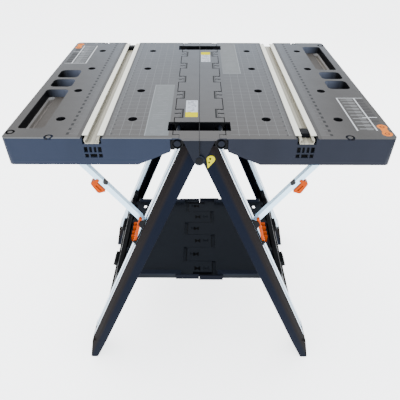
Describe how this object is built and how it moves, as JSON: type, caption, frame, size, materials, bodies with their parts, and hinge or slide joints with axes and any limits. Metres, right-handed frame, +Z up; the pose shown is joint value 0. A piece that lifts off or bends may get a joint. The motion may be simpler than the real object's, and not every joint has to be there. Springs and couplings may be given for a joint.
{
  "type": "folding workbench",
  "caption": "Folding workbench with two leaves on a hinged spine, dog holes, metal tracks, tool pockets, splayed legs, sliding struts and a folding shelf.",
  "frame": {"origin": "on the floor, below the middle of the open table top", "axes": "+X to the right leaf, +Y from front to back, +Z up"},
  "size_m": [0.787, 0.635, 0.813],
  "materials": {
    "top_plastic": "fine moulded grain",
    "leg_coat": "smooth satin, dark navy grey",
    "black_plastic": "matte black",
    "track_metal": "satin, cream tint",
    "strut_metal": "satin",
    "zinc": "zinc plated",
    "pin_steel": "dark steel",
    "orange_plastic": "semi-gloss orange"
  },
  "bodies": {
    "left_frame": {"left_spine": "top_plastic", "left_hinge_bracket": "leg_coat", "pivot_pins": "pin_steel", "left_hinge_rod": "pin_steel", "left_side_rail": "black_plastic", "left_shelf_rod": "pin_steel", "left_front_leg": "leg_coat", "left_front_channel": "strut_metal", "left_front_foot": "leg_coat", "left_front_latch_bracket": "zinc", "left_back_leg": "leg_coat", "left_back_channel": "strut_metal", "left_back_foot": "leg_coat", "left_back_latch_bracket": "zinc"},
    "right_frame": {"right_spine": "top_plastic", "right_hinge_bracket": "leg_coat", "right_hinge_rod": "pin_steel", "right_side_rail": "black_plastic", "right_shelf_rod": "pin_steel", "right_front_leg": "leg_coat", "right_front_channel": "strut_metal", "right_front_foot": "leg_coat", "right_front_latch_bracket": "zinc", "right_back_leg": "leg_coat", "right_back_channel": "strut_metal", "right_back_foot": "leg_coat", "right_back_latch_bracket": "zinc"},
    "left_leaf_body": {"left_leaf": "top_plastic", "left_track": "track_metal", "left_track_stop": "black_plastic", "left_front_strut_pin": "pin_steel", "left_back_strut_pin": "pin_steel"},
    "right_leaf_body": {"right_leaf": "top_plastic", "right_track": "track_metal", "right_track_stop": "black_plastic", "right_front_strut_pin": "pin_steel", "right_back_strut_pin": "pin_steel"},
    "left_shelf_body": {"left_shelf": "black_plastic"},
    "left_front_strut_body": {"left_front_strut": "strut_metal"},
    "left_front_trigger_body": {"left_front_trigger": "orange_plastic"},
    "left_front_latch_body": {"left_front_latch": "orange_plastic"},
    "left_front_dog_body": {"left_front_dog": "orange_plastic"},
    "left_back_strut_body": {"left_back_strut": "strut_metal"},
    "left_back_trigger_body": {"left_back_trigger": "orange_plastic"},
    "left_back_latch_body": {"left_back_latch": "orange_plastic"},
    "left_back_dog_body": {"left_back_dog": "orange_plastic"},
    "right_shelf_body": {"right_shelf": "black_plastic"},
    "right_front_strut_body": {"right_front_strut": "strut_metal"},
    "right_front_trigger_body": {"right_front_trigger": "orange_plastic"},
    "right_front_latch_body": {"right_front_latch": "orange_plastic"},
    "right_front_dog_body": {"right_front_dog": "orange_plastic"},
    "right_back_strut_body": {"right_back_strut": "strut_metal"},
    "right_back_trigger_body": {"right_back_trigger": "orange_plastic"},
    "right_back_latch_body": {"right_back_latch": "orange_plastic"},
    "right_back_dog_body": {"right_back_dog": "orange_plastic"}
  },
  "joints": [
    {"name": "leg_fold", "type": "hinge", "parent": "left_frame", "child": "right_frame", "pos_m": [0, 0, 0.761], "axis": [0, 1, 0], "range_deg": [0, 45.5]},
    {"name": "left_leaf_fold", "type": "hinge", "parent": "left_frame", "child": "left_leaf_body", "pos_m": [-0.0442, 0, 0.8005], "axis": [0, -1, 0], "range_deg": [0, 60]},
    {"name": "left_shelf_fold", "type": "hinge", "parent": "left_frame", "child": "left_shelf_body", "pos_m": [-0.23431, 0, 0.2584], "axis": [0, -1, 0], "range_deg": [0, 69.7]},
    {"name": "left_front_strut_swing", "type": "hinge", "parent": "left_leaf_body", "child": "left_front_strut_body", "pos_m": [-0.294, -0.2605, 0.768], "axis": [0, 1, 0], "range_deg": [0, 118.5]},
    {"name": "left_front_trigger_squeeze", "type": "hinge", "parent": "left_front_strut_body", "child": "left_front_trigger_body", "pos_m": [-0.23231, -0.2605, 0.67684], "axis": [0, -1, 0], "range_deg": [0, 6], "stiffness_Nm_per_rad": 0.5, "springref_deg": -5.73},
    {"name": "left_front_latch_tilt", "type": "hinge", "parent": "left_frame", "child": "left_front_latch_body", "pos_m": [-0.16229, -0.2765, 0.49876], "axis": [0, -1, 0], "range_deg": [0, 12], "stiffness_Nm_per_rad": 0.6, "springref_deg": -8.59},
    {"name": "left_front_dog_lift", "type": "slide", "parent": "left_shelf_body", "child": "left_front_dog_body", "axis": [0, 0, 1], "range_m": [0, 0.06]},
    {"name": "left_back_strut_swing", "type": "hinge", "parent": "left_leaf_body", "child": "left_back_strut_body", "pos_m": [-0.294, 0.2605, 0.768], "axis": [0, 1, 0], "range_deg": [0, 118.5]},
    {"name": "left_back_trigger_squeeze", "type": "hinge", "parent": "left_back_strut_body", "child": "left_back_trigger_body", "pos_m": [-0.23231, 0.2605, 0.67684], "axis": [0, -1, 0], "range_deg": [0, 6], "stiffness_Nm_per_rad": 0.5, "springref_deg": -5.73},
    {"name": "left_back_latch_tilt", "type": "hinge", "parent": "left_frame", "child": "left_back_latch_body", "pos_m": [-0.16229, 0.2765, 0.49876], "axis": [0, -1, 0], "range_deg": [0, 12], "stiffness_Nm_per_rad": 0.6, "springref_deg": -8.59},
    {"name": "left_back_dog_lift", "type": "slide", "parent": "left_shelf_body", "child": "left_back_dog_body", "axis": [0, 0, 1], "range_m": [0, 0.06]},
    {"name": "right_leaf_fold", "type": "hinge", "parent": "right_frame", "child": "right_leaf_body", "pos_m": [0.0442, 0, 0.8005], "axis": [0, 1, 0], "range_deg": [0, 60]},
    {"name": "right_shelf_fold", "type": "hinge", "parent": "right_frame", "child": "right_shelf_body", "pos_m": [0.23431, 0, 0.2584], "axis": [0, 1, 0], "range_deg": [0, 69.7]},
    {"name": "right_front_strut_swing", "type": "hinge", "parent": "right_leaf_body", "child": "right_front_strut_body", "pos_m": [0.294, -0.2605, 0.768], "axis": [0, -1, 0], "range_deg": [0, 118.5]},
    {"name": "right_front_trigger_squeeze", "type": "hinge", "parent": "right_front_strut_body", "child": "right_front_trigger_body", "pos_m": [0.23231, -0.2605, 0.67684], "axis": [0, 1, 0], "range_deg": [0, 6], "stiffness_Nm_per_rad": 0.5, "springref_deg": -5.73},
    {"name": "right_front_latch_tilt", "type": "hinge", "parent": "right_frame", "child": "right_front_latch_body", "pos_m": [0.16229, -0.2765, 0.49876], "axis": [0, 1, 0], "range_deg": [0, 12], "stiffness_Nm_per_rad": 0.6, "springref_deg": -8.59},
    {"name": "right_front_dog_lift", "type": "slide", "parent": "right_shelf_body", "child": "right_front_dog_body", "axis": [0, 0, 1], "range_m": [0, 0.06]},
    {"name": "right_back_strut_swing", "type": "hinge", "parent": "right_leaf_body", "child": "right_back_strut_body", "pos_m": [0.294, 0.2605, 0.768], "axis": [0, -1, 0], "range_deg": [0, 118.5]},
    {"name": "right_back_trigger_squeeze", "type": "hinge", "parent": "right_back_strut_body", "child": "right_back_trigger_body", "pos_m": [0.23231, 0.2605, 0.67684], "axis": [0, 1, 0], "range_deg": [0, 6], "stiffness_Nm_per_rad": 0.5, "springref_deg": -5.73},
    {"name": "right_back_latch_tilt", "type": "hinge", "parent": "right_frame", "child": "right_back_latch_body", "pos_m": [0.16229, 0.2765, 0.49876], "axis": [0, 1, 0], "range_deg": [0, 12], "stiffness_Nm_per_rad": 0.6, "springref_deg": -8.59},
    {"name": "right_back_dog_lift", "type": "slide", "parent": "right_shelf_body", "child": "right_back_dog_body", "axis": [0, 0, 1], "range_m": [0, 0.06]}
  ],
  "couplings": [
    {"joint": "left_shelf_fold", "follows": "leg_fold", "ratio": 1.53},
    {"joint": "left_front_strut_swing", "follows": "left_leaf_fold", "ratio": 1.9672},
    {"joint": "left_back_strut_swing", "follows": "left_leaf_fold", "ratio": 1.9672},
    {"joint": "right_shelf_fold", "follows": "leg_fold", "ratio": 1.53},
    {"joint": "right_front_strut_swing", "follows": "right_leaf_fold", "ratio": 1.9672},
    {"joint": "right_back_strut_swing", "follows": "right_leaf_fold", "ratio": 1.9672}
  ]
}
